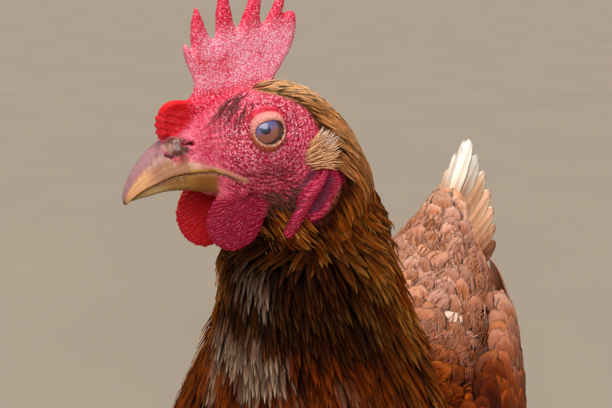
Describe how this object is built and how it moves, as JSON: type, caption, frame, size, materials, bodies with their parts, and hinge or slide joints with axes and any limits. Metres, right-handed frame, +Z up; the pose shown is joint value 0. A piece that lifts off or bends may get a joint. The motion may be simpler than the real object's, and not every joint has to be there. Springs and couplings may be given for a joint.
{
  "type": "laying hen",
  "caption": "Life-size still model of a brown laying hen standing with her head raised and turned to her right; single red comb, wattles, folded wings and short tented tail.",
  "frame": {"origin": "middle of the bounding box at floor level, between and just behind the feet", "axes": "+Z up; -Y the way the hen's body faces; +X her left side"},
  "size_m": [0.1596, 0.3458, 0.4216],
  "materials": {
    "plumage": "overlapping chestnut feathers, paler at their edges, soft and slightly glossy",
    "pale_feather": "short hair-like cream and buff feathers",
    "red_skin": "bare crimson skin, pebbled, satin",
    "horn": "cream and pinkish-grey horn, satin",
    "eye": "wet, orange-brown iris round a dark pupil",
    "leg_scale": "overlapping yellow scales",
    "claw": "pale horn, satin"
  },
  "bodies": {
    "root": {"trunk": "plumage", "neck_lower": "plumage", "neck_upper": "plumage", "tail": "plumage", "wing_left": "plumage", "wing_tip_left": "plumage", "wing_right": "plumage", "wing_tip_right": "plumage", "thigh_left": "plumage", "thigh_right": "plumage", "head": "red_skin", "comb": "red_skin", "wattle_left": "red_skin", "wattle_right": "red_skin", "earlobe_left": "red_skin", "earlobe_right": "red_skin", "ear_left": "pale_feather", "ear_right": "pale_feather", "eye_left": "eye", "eye_right": "eye", "bill_upper": "horn", "bill_lower": "horn", "shank_left": "leg_scale", "toe_inner_left": "leg_scale", "toe_middle_left": "leg_scale", "toe_outer_left": "leg_scale", "toe_back_left": "leg_scale", "claw_inner_left": "claw", "claw_middle_left": "claw", "claw_outer_left": "claw", "claw_back_left": "claw", "shank_right": "leg_scale", "toe_inner_right": "leg_scale", "toe_middle_right": "leg_scale", "toe_outer_right": "leg_scale", "toe_back_right": "leg_scale", "claw_inner_right": "claw", "claw_middle_right": "claw", "claw_outer_right": "claw", "claw_back_right": "claw"}
  },
  "joints": []
}
